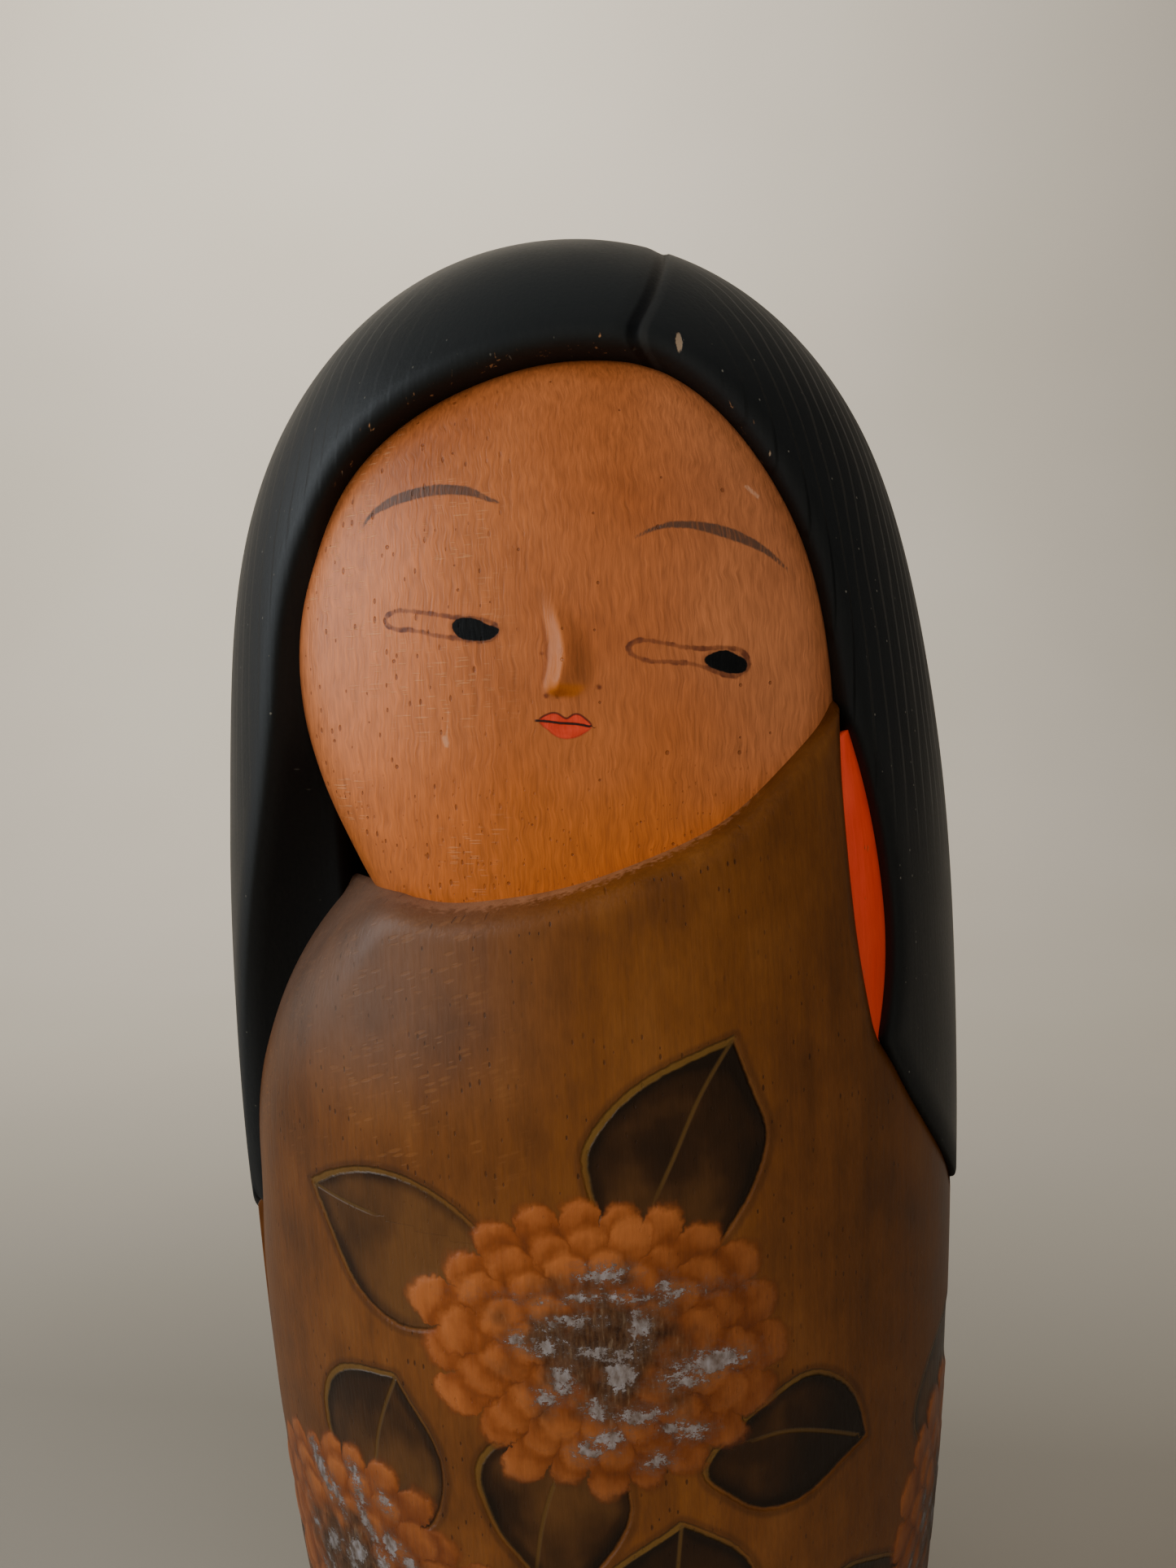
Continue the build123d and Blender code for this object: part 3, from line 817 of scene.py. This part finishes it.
def face_features(x, z):
    """Signed distances to the painted features, for every point of the face."""
    eye, pupil = (
        np.max([inside_distance(x, z, closed_curve(e, 5)) for e in pair], 0) for pair in (EYES, PUPILS))
    brow = np.full(x.shape, 9.0)
    for stroke in BROWS:
        line = smooth_curve(np.array(stroke)[:, :2], steps=4)
        span, _, along = nearest(x, z, line)
        thick = np.array(stroke)[:, 2]
        brow = np.minimum(brow, span - np.interp(along, np.linspace(0, 1, len(thick)), thick))
    lip = inside_distance(x, z, LIPS)
    span, side, _ = nearest(x, z, LIP_SEAM)
    seam = span * side
    dots = np.min([np.hypot(x - cx, z - cz) - r for cx, cz, r in DOTS], 0)
    scuffs = np.min([nearest(x, z, np.array([a, b]))[0] - thick for a, b, thick in SCUFFS], 0)
    _, lit, crease_shade, under, shaded_flank = nose_shape(x, z)
    return {"eye": eye, "pupil": -pupil, "brow": brow, "lip": lip, "lip_upper": rise(-0.4, 0.4, seam),
            "lip_seam": seam, "dots": dots, "scuffs": scuffs, "nose_lit": lit, "nose_crease_shade": crease_shade,
            "nose_under": under, "nose_shaded_flank": shaded_flank}


def make_face():
    around = 400
    loop = np.vstack([face_loop, face_loop[:1]])
    run = np.r_[0, np.cumsum(np.linalg.norm(np.diff(loop, axis=0), axis=1))]
    s = np.arange(around) * run[-1] / around
    spokes = np.c_[np.interp(s, run, loop[:, 0]), np.interp(s, run, loop[:, 1])] - FACE_MIDDLE
    rho = np.r_[np.linspace(0.008, 0.9, 88), 0.9 + 0.1 * np.linspace(0, 1, 20)[1:] ** 0.8]
    x, z = np.moveaxis(FACE_MIDDLE + rho[:, None, None] * spokes, -1, 0)
    d = np.maximum(inside_distance(x, z, face_loop), 0)
    radius = mix(6.0, 7.0, rise(196, 180, z))
    y = face_surface(x, z) + roll_over(d, radius, 6.0, 20.0) - nose_shape(x, z)[0]
    grid = np.stack([x, y, z], -1)[::-1]
    # the sides run back into the pocket and a flat back closes them
    edge_x, edge_y, edge_z = grid[0].T
    inner_x, inner_z = (FACE_MIDDLE + 0.5 * spokes).T
    back = [np.c_[inner_x, np.full(around, FACE_BACK), inner_z]]
    back += [np.c_[edge_x, np.maximum(edge_y, reach), edge_z] for reach in (-18.0, -24.0)]
    grid = np.concatenate([np.array(back), grid])
    middle_x, middle_z = FACE_MIDDLE
    tip = float(face_surface(middle_x, middle_z) - nose_shape(middle_x, middle_z)[0])
    piece = skin("face_carving", grid, (middle_x, FACE_BACK, middle_z), (middle_x, tip, middle_z))
    fields = face_features(x, z)
    fields["rim"] = d
    for name, field in fields.items():
        tag(piece, name, np.vstack([np.repeat(field[-1:], len(back), 0), field[::-1]]))
    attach(piece, "root")
    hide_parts("face")
    return piece


# ---- lining
# Its two long edges: X, Z
LINING_EDGES = [
    smooth_curve([(35.4, 200.5), (33.4, 190), (34.2, 176), (36.8, 158), (38.0, 152)]),
    smooth_curve([(37.4, 201.5), (41.6, 193), (44.4, 180), (45.0, 168), (43.6, 157), (43.0, 152)]),
]
LINING_ROWS, LINING_COLUMNS = 90, 24
LINING_SET_BACK, LINING_DEPTH, LINING_CROWN = 3.2, 7.0, 0.5


def make_lining():
    s = np.linspace(0, 1, LINING_ROWS)
    a, b = (
        np.stack([np.interp(s, np.linspace(0, 1, len(edge)), v) for v in edge.T], -1)[:, None]
        for edge in LINING_EDGES
    )
    t = np.linspace(0, 1, LINING_COLUMNS)[None, :, None]
    x, z = np.moveaxis(a * (1 - t) + b * t, -1, 0)
    y = -np.sqrt(np.maximum(radius_at(z, robe_profile) ** 2 - x**2, 1)) + LINING_SET_BACK
    y = y - LINING_CROWN * np.sin(np.pi * t[..., 0])
    front = np.stack([x, y, z], -1)
    back = front + np.array([0, LINING_DEPTH, 0])
    ring = np.concatenate([front, back[:, ::-1]], 1)
    piece = skin("red_lining", ring, ring[0].mean(0), ring[-1].mean(0))
    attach(piece, "root")
    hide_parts("collar_lining")
    return piece


# ---- cork pad
def make_pad():
    """The disc of cork under the base, its edges a little crumbled."""
    (_, _, low), (reach, _, high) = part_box("base_pad")
    reach, low, high = reach / MM, low / MM, high / MM
    turn = np.linspace(0, 2 * np.pi, 240, endpoint=False)
    bevel = 0.35
    profile = [(reach * k, low) for k in (0.3, 0.6, 0.85)] + [
        (reach - bevel, low), (reach - 0.1, low + 0.1), (reach, low + bevel), (reach, high - bevel),
        (reach - 0.1, high - 0.1), (reach - bevel, high)] + [(reach * k, high) for k in (0.85, 0.6, 0.3)]
    crumble = np.random.default_rng(4).uniform(0, 0.3, (len(profile), len(turn)))
    crumble = (crumble + np.roll(crumble, 1, 1) + np.roll(crumble, 2, 1)) / 3
    r = np.array(profile)[:, :1]
    r = r - crumble * (r > reach - 1)
    z = np.array(profile)[:, 1:] + 0 * turn
    grid = np.stack([r * np.sin(turn), -r * np.cos(turn), z], -1)
    piece = skin("cork_pad", grid, (0, 0, low), (0, 0, high))
    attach(piece, "root")
    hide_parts("base_pad")
    return piece


# ---- materials
def robe_paint():
    p = Paint("carved robe paint")
    z, u = p.z, p.u
    fibre = p.noise(0.5, 7, 3, warp=0.3)
    grit = p.noise(0.7, 2.2, 2, shift=15)
    streak = p.noise(3, 45, 2, shift=7)
    cloud = p.noise(11, 14, 3, shift=3)
    wood = p.ramp(streak * 0.3 + cloud * 0.7,
                  (0.3, (84, 46, 12)), (0.52, (106, 60, 18)), (0.74, (120, 72, 28)))
    wood = p.shade(wood, 0.66 + fibre * 0.36 + grit * 0.4)
    # short rays across the grain on the shoulder, and dark pores along it
    slant = (u + z * 0.5, z - u * 0.35)
    rays = p.specks(slant[0], slant[1], 2.6, 0.6, 0.34, 0.42) * rise(-6, -22, u) * rise(136, 150, z)
    rays = rays * rise(0.4, 0.6, p.noise(9, 9, 2, shift=25))
    wood = p.blend(wood, (176, 116, 62), rays * 0.16)
    pores = p.specks(u, z, 1.25, 3.1, 0.32, 0.11, 0.95) * rise(0.3, 0.62, p.noise(14, 20, 2, shift=35))
    wood = p.blend(wood, (40, 20, 6), pores * 0.65)

    leaf = p.field("leaf") + p.sway(0.35, 1.2, 1.2, 2, shift=11)
    lit = p.field("leaf_lit")
    vein = p.field("vein")
    vein_width = p.field("vein_width")
    flower_x, flower_z = p.field("flower_x"), p.field("flower_z")
    q = root(flower_x * flower_x + flower_z * flower_z)
    in_leaf = rise(0.15, 0.75, leaf)
    leaf_cloud = p.noise(10, 12, 3, shift=21) - 0.5
    reach = p.field("flower_reach")
    leaf_light = p.field("leaf_tone") + leaf_cloud * 1.2 + rise(1.5, 1.02, reach) * 0.2
    leaf_light = leaf_light - 0.32 * rise(2.8, 0.6, leaf) - 0.5 * rise(1.72, 2.05, reach)
    green = p.ramp(leaf_light, (0, (22, 9, 0)), (0.35, (44, 23, 4)), (0.9, (96, 60, 25)))
    green = p.shade(green, 0.78 + fibre * 0.24 + grit * 0.2)
    # painted shadow: the wood darker just outside each leaf's carved edge
    wood = p.shade(wood, 1 - 0.34 * band(leaf, -0.4, 0.1, 0.8))
    p.colour = p.blend(wood, green, in_leaf)
    # the leaves' cut outlines hold real gold paint, drawn wider and brighter on the edges that face up-left
    # as painted highlight
    cut = band(leaf, 0.35, 0.06 + 0.18 * lit, 0.42)
    rib = band(vein, 0, 0.1, 0.35) * rise(0, 0.35, vein_width) * in_leaf
    worn_line = 0.4 + 0.8 * p.noise(2.6, 2.6, 2, shift=45)
    p.coat((104, 74, 28), lesser(cut * lit * worn_line, 1))
    p.coat((88, 62, 24), rib * 0.75)

    tone, crown, cover = petals(
        flower_x + p.sway(0.12, 3, 3, 3, shift=31, rough=0.65),
        flower_z + p.sway(0.12, 3, 3, 3, shift=41, rough=0.65), p.field("flower_seed"))
    cover = cover * rise(1.12, 1.06, reach)
    mottle = p.noise(2.2, 3.5, 3, shift=51)
    petal = p.ramp(tone + (mottle - 0.5) * 0.7 + (cloud - 0.5) * 0.6,
                   (0.1, (92, 42, 10)), (0.5, (128, 64, 20)), (0.95, (162, 92, 42)))
    # painted shade: each flower's petals darker towards its lower right, away from the light
    petal = p.shade(petal, 0.86 + fibre * 0.28 - 0.36 * rise(-0.7, 0.7, flower_x * 0.8 - flower_z * 0.55))
    heart = rise(0.62, 0.16, q + p.sway(0.7, 4, 4, 2, shift=61))
    brown = p.ramp(p.noise(0.5, 2.2, 3, shift=71),
                   (0.35, (30, 17, 7)), (0.6, (70, 48, 28)), (0.8, (116, 100, 78)))
    petal = p.blend(petal, brown, heart * 0.9)
    p.coat(petal, cover)
    # the silvery ground shows through in worn patches
    patch = p.field("patch") + p.sway(6.5, 1.7, 1.2, 4, shift=81, rough=0.9)
    haze = rise(1.6, -0.4, patch) * rise(0.98, 0.86, reach)
    silver = rise(0.1, -0.3, patch) * rise(0.98, 0.86, reach)
    p.coat((92, 76, 64), haze * 0.4)
    grey = p.ramp(p.noise(1, 1.6, 2, shift=97),
                  (0.3, (90, 76, 66)), (0.55, (128, 120, 116)), (0.8, (150, 147, 150)))
    p.coat(grey, silver * 0.9)
    # the collar's edge is worn to the wood
    collar_d, collar_s = p.field("collar"), p.field("collar_run")
    wear = band(collar_d, -1.1 + p.sway(1.6, 0.8, 0.8, 3, shift=5), 0.35, 0.5)
    wear = wear * rise(-30, -24, collar_s) * rise(26, 18, collar_s)
    p.coat((176, 122, 84), wear * (0.1 + 0.75 * mottle))
    # painted sheen: a grey reflection of the window laid over the doll's right shoulder
    painted_shoulder_sheen = rise(0, -36, u) * rise(148, 168, z) * (0.6 + 0.5 * grit)
    p.coat((106, 90, 80), painted_shoulder_sheen * 0.6)
    # painted shade: the robe darker round its sides, most on the doll's left, away from the window
    painted_side_shade = 0.42 * rise(4, 46, u) * rise(120, 60, u) + 0.16 * rise(-36, -58, u) * rise(-140, -90, u)
    p.dim(1 - painted_side_shade)
    rough = 0.46 + 0.14 * (cloud - 0.5) + 0.16 * silver + 0.06 * fibre - 0.06 * in_leaf
    height = fibre * 0.07 + grit * 0.04 + mottle * 0.03 - (cut * 0.26 + rib * 0.1) * (1 - cover)
    height = height + crown * cover * 0.1 + silver * 0.05 - rays * 0.02 - pores * 0.08
    return p.finish(rough, height, Specular_IOR_Level=0.34)


def face_paint():
    p = Paint("face wood paint")
    x, y, z = p.x, p.y, p.z
    drift = p.noise(4.5, 3.2, 2, shift=2) - 0.5
    wave = p.noise(1.8, 5.5, 1, shift=8) - 0.5
    bent = (x + drift * 1.3 + wave * 0.5, y, z)
    fibre = p.noise((0.28, 1.2), 4.5, 2, at=bent)
    ripple = p.noise((0.62, 2), 3, 1, shift=4, at=bent)
    cloud = p.noise(15, 22, 2, shift=6)
    # painted light and sheen: a paler, pinker patch on the doll's right cheek, towards the window, fading out
    # on the forehead
    painted_cheek_light = rise(-8, -30, x + (cloud - 0.5) * 18)
    amber = rise(214, 182, z + (cloud - 0.5) * 14)
    p.colour = p.ramp(cloud, (0.3, (152, 82, 38)), (0.7, (172, 99, 52)))
    # the painted light and sheen on that cheek
    p.coat((220, 132, 80), painted_cheek_light * rise(242, 226, z) * 0.62)
    p.coat((178, 92, 22), amber * 0.75)
    p.coat((170, 112, 76), rise(2, 26, x) * rise(184, 200, z) * 0.4)
    p.dim(1 + (fibre - 0.5) * 0.75 + (ripple - 0.5) * 0.5)
    # pores: dark dashes, mostly on the doll's right cheek
    pores = p.specks(x, z, 1.5, 3.6, 0.34, 0.1, 0.9) * rise(-4, -20, x + drift * 30)
    few = p.specks(x + 31, z, 4.6, 5, 0.3, 0.05)
    fine = p.specks(x + 57, z + 3, 0.9, 1.6, 0.25, 0.12) * rise(206, 190, z) * 0.6
    pores = greater(greater(pores, few), fine)
    p.coat((104, 50, 20), pores * 0.6)
    scratches = greater(p.specks(x, z, 3.2, 0.34, 0.16, 0.3), p.specks(x + 1.7, z, 1.9, 0.27, 0.2, 0.3))
    scratches = scratches * rise(-6, -18, x) * rise(0.45, 0.62, p.noise(16, 16, 1, shift=77))
    p.coat((232, 172, 122), scratches * 0.26)

    brush = p.sway(0.22, 0.5, 0.5, 2, shift=12)
    patchy = p.noise(1.4, 1.4, 2, shift=17)
    groove = rise(0.36, 0.5, fibre)
    brow = rise(0.26, -0.06, p.field("brow") + brush * 1.3)
    p.coat(p.ramp(patchy, (0.3, (84, 57, 42)), (0.7, (70, 55, 46))), brow * (0.62 + 0.3 * groove))
    eye = band(p.field("eye"), 0, 0.08 + 0.24 * rise(0.35, 0.75, patchy), 0.26)
    p.coat((88, 44, 28), eye * (0.5 + 0.45 * rise(0.4, 0.75, patchy)))
    p.coat((80, 46, 28), rise(0.8, 0, p.field("pupil")) * 0.35)
    pupil = rise(0.1, -0.08, p.field("pupil") + brush)
    p.coat(p.ramp(patchy, (0.3, (4, 5, 6)), (0.7, (12, 13, 13))), pupil)
    lip_d = p.field("lip")
    lip = rise(-0.12, 0.08, lip_d + brush * 0.6)
    red = p.ramp(patchy, (0.25, (184, 42, 18)), (0.75, (220, 66, 38)))
    p.coat(p.shade(red, 0.85 + 0.3 * fibre), lip * 0.95)
    rim = band(lip_d, 0.02, 0.05, 0.17) * (0.35 + 0.65 * p.field("lip_upper"))
    seam = band(p.field("lip_seam") + brush * 0.5, 0, 0.1, 0.13) * rise(-0.75, -0.3, lip_d)
    p.coat((46, 22, 16), greater(rim * 0.8, seam))
    p.coat((92, 38, 18), rise(0.25, -0.1, p.field("dots") + brush) * 0.85)
    scuff = rise(0.2, -0.1, p.field("scuffs") + brush * 1.2)
    p.coat((214, 168, 136), scuff * 0.4)
    p.coat((182, 98, 16), p.field("nose_under") * 0.85)
    p.coat((206, 118, 50), p.field("nose_lit") * 0.45)
    # painted shade on the nose's flank away from the light
    p.dim(1 - 0.24 * p.field("nose_shaded_flank"))
    # painted shade in the crease along the nose's left side
    p.coat((112, 54, 24), p.field("nose_crease_shade") * 0.5)
    # painted shade along the face's edge, where it meets the hair and the collar
    p.dim(1 - 0.25 * rise(1.8, 0, p.field("rim")))
    dark = greater(brow * 0.4, pupil)
    rough = 0.47 + (cloud - 0.5) * 0.12 + (fibre - 0.5) * 0.12 + 0.35 * pupil + 0.1 * scuff
    height = fibre * 0.08 + ripple * 0.07 - pores * 0.12 + scratches * 0.03
    height = height + dark * 0.03 + lip * 0.03 - seam * 0.05
    return p.finish(rough, height, Specular_IOR_Level=0.4)


def hair_paint():
    p = Paint("hair lacquer")
    x, y, z = p.x, p.y, p.z
    cloud = p.noise(20, 28, 2, shift=1)
    fibre = p.noise(0.6, 12, 2, shift=2)
    speckle = p.noise(0.5, 0.5, 2, shift=3)
    p.colour = p.ramp(cloud * 0.6 + fibre * 0.4, (0.3, (13, 14, 14)), (0.7, (20, 21, 20)))
    # painted sheen: the crown painted lighter grey, as a reflection of the light from above and behind
    p.coat((42, 45, 45), rise(244, 274, z) * 0.7)
    # the turned block's growth rings stand out faintly on the side away from its heart
    bend = p.noise(14, 60, 2, shift=5) - 0.5
    off_x, off_y = x - 4, y + 52
    ring = fract(root(off_x * off_x + off_y * off_y) * (1 / 2.9) + bend * 1.6)
    saw = ring * rise(1, 0.8, ring)
    rings = saw * (rise(16, 38, x) + 0.16 * rise(-12, -34, x)) * rise(176, 214, z) * (0.5 + cloud)
    p.dim(1 - 0.7 * rise(0.8, 1, ring) * rise(0, 0.3, rings))
    dust = p.specks(p.u, z, 3, 3.4, 0.22, 0.045) * rise(264, 250, z)
    p.coat((120, 116, 104), dust * 0.6)
    front = p.field("front")
    nibble = p.noise(2.4, 2.4, 2, shift=9)
    frayed = p.noise(0.5, 3, 2, shift=19)
    rim = band(front, 0.6, 0.5, 0.9) * rise(0.62, 0.72, nibble * 0.5 + frayed * 0.5) * rise(236, 246, z)
    p.coat((190, 138, 92), rim * 0.8)
    # painted shade in the deep hollow between the doll's right cheek and the hanging hair
    painted_hollow_shade = rise(0.5, -2.5, front) * rise(-34, -38, x) * rise(212, 196, z)
    p.dim(1 - 0.85 * painted_hollow_shade)
    nicks = rise(0.15, -0.15, p.field("nicks") + (speckle - 0.5) * 0.5)
    p.coat((150, 128, 104), nicks * 0.8)
    parting_on = p.field("parting_on")
    # painted shadow in the parting's groove
    p.dim(1 - 0.85 * band(p.field("parting"), -0.5, 0.5, 0.8) * parting_on)
    # painted highlight on the raised edge of the parting's step
    step_highlight = band(p.field("parting"), 0.9, 0.3, 0.6) * parting_on
    p.coat((60, 60, 58), step_highlight * 0.5 * cloud)
    rough = 0.48 + 0.25 * rise(4, 0.5, front) + (cloud - 0.5) * 0.16 + (speckle - 0.5) * 0.1
    rough = rough + 0.25 * nicks + 0.2 * dust
    height = fibre * 0.03 + speckle * 0.02 + rings * 0.3 - nicks * 0.15 + dust * 0.03
    return p.finish(rough, height, Specular_IOR_Level=0.4)


def lining_paint():
    p = Paint("lining paint")
    brush = p.noise(0.7, 6, 3, shift=3)
    cloud = p.noise(8, 14, 2, shift=5)
    p.colour = p.ramp(cloud, (0.3, (214, 58, 32)), (0.7, (230, 74, 44)))
    p.dim(0.88 + 0.24 * brush)
    p.dim(0.82 + 0.18 * rise(160, 190, p.z))
    worn = rise(0.68, 0.76, p.noise(1.6, 3, 3, shift=8))
    p.coat((142, 84, 44), worn * 0.6)
    return p.finish(0.5 + 0.15 * (cloud - 0.5) + 0.1 * worn, brush * 0.06 - worn * 0.06)


def bare_wood(name, light, dark, size):
    p = Paint(name)
    bend = p.noise(9, 50, 2, shift=1) - 0.5
    off_x, off_y = p.x + 21, p.y + 17
    ring = sine(root(off_x * off_x + off_y * off_y) * (2 * np.pi / size) + bend * 5) * 0.5 + 0.5
    fibre = p.noise(0.3, 5, 3, shift=4)
    p.colour = p.blend(light, dark, ring * 0.55 + (fibre - 0.5) * 0.5 + 0.1)
    pores = p.specks(p.x + p.y, p.z, 1.3, 3.4, 0.4, 0.09)
    p.dim(1 - 0.35 * pores)
    return p.finish(0.62 + 0.14 * (fibre - 0.5), fibre * 0.06 - pores * 0.08 + ring * 0.03)


def cork_paint():
    p = Paint("cork")
    grain, _, gap = p.cells(p.vector(p.x * 0.55, p.y * 0.55, p.z * 0.55))
    p.colour = p.ramp(grain, (0, (140, 96, 58)), (0.5, (176, 128, 82)), (1, (196, 152, 104)))
    p.dim(1 - 0.45 * rise(0.45, 0.75, gap))
    fine = p.noise(0.35, 0.35, 3)
    p.dim(0.88 + 0.24 * fine)
    return p.finish(0.82 + 0.1 * (fine - 0.5), fine * 0.08 - rise(0.45, 0.8, gap) * 0.2)


for make, paint in (
    (make_hair, hair_paint), (make_robe, robe_paint), (make_face, face_paint), (make_lining, lining_paint),
    (make_pad, cork_paint),
):
    make().data.materials.append(paint())
# the pegs and the plug inside keep their shape
dowel_wood = bare_wood("dowel wood", (214, 178, 132), (176, 132, 86), 2.6)
for name in ("neck_dowel", "locating_pin", "face_pins", "core_plug"):
    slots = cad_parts[name].material_slots
    for slot in slots:
        slot.material = dowel_wood
    if not slots:
        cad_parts[name].data.materials.append(dowel_wood)


# ---- studio
def area_light(name, place, aim, size, power, colour):
    """A rectangular lamp, in metres and watts."""
    data = bpy.data.lights.new(name, "AREA")
    data.shape = "RECTANGLE"
    data.size, data.size_y = size
    data.energy = power
    data.color = colour
    lamp = bpy.data.objects.new(name, data)
    lamp.location = place
    lamp.rotation_euler = (Vector(aim) - Vector(place)).to_track_quat("-Z", "Y").to_euler()
    bpy.context.scene.collection.objects.link(lamp)
    return lamp


# The camera looks at the doll's face from close by, tilted down, rolled and turned by these degrees
CAMERA_PLACE = (-0.0017, -0.225, 0.208)
TILT, ROLL, TURN = 90 - 4, -2.5, -0.5
SENSOR = 36
FRAME_HEIGHT, FOCAL_HEIGHT = 1927, 1600  # the frame's height, and the focal length on the same scale
camera_data = bpy.data.cameras.new("camera")
camera_data.sensor_width = SENSOR
camera_data.lens = FOCAL_HEIGHT / FRAME_HEIGHT * SENSOR
camera_data.clip_start = 0.01
camera = bpy.data.objects.new("camera", camera_data)
camera.location = CAMERA_PLACE
look = Euler((np.radians(TILT), 0, 0)).to_matrix()
roll = Euler((0, 0, np.radians(ROLL))).to_matrix()
turn = Euler((0, 0, np.radians(TURN))).to_matrix()
camera.rotation_euler = (turn @ look @ roll).to_euler()
bpy.context.scene.collection.objects.link(camera)
bpy.context.scene.camera = camera

world = bpy.data.worlds.new("world")
world.use_nodes = True
background = world.node_tree.nodes["Background"].inputs
background["Color"].default_value, background["Strength"].default_value = (0.8, 0.82, 0.85, 1), 0.12
bpy.context.scene.world = world
area_light("window", (-1.0, -0.2, 0.6), (0, 0, 0.2), (0.9, 0.9), 8.0, (0.86, 0.94, 1.0))
front = area_light("front", (0.0, -1.3, 0.65), (0, 0, 0.15), (1.6, 1.1), 15.5, (1.0, 0.95, 0.9))
front.visible_glossy = False
area_light("wall", (-0.3, 0.3, 1.1), (-0.1, 1.3, 1.0), (0.8, 0.8), 34, (1.0, 0.98, 0.95))

# The floor sweeps up into a plain wall behind the doll, in metres
REACH, WALL_Y, CORNER = 3, 1.3, 0.6
bend = np.radians(np.linspace(0, 90, 25))
corner = np.c_[WALL_Y - CORNER + CORNER * np.sin(bend), CORNER - CORNER * np.cos(bend)]
sweep = np.vstack([[(-REACH, 0)], corner, [(WALL_Y, REACH)]])
side = np.array([-REACH, REACH])
ground = np.stack([side[None] + 0 * sweep[:, :1], sweep[:, :1] + 0 * side, sweep[:, 1:] + 0 * side], -1)
backdrop = skin("backdrop", ground / MM, around=False)
p = Paint("plain backdrop")
plain = p.noise(300, 300, 2)
p.colour = p.ramp(plain, (0.3, (165, 157, 143)), (0.7, (170, 162, 149)))
backdrop.data.materials.append(p.finish(0.9 + 0.05 * plain, p.noise(1.5, 1.5, 2) * 0.02))
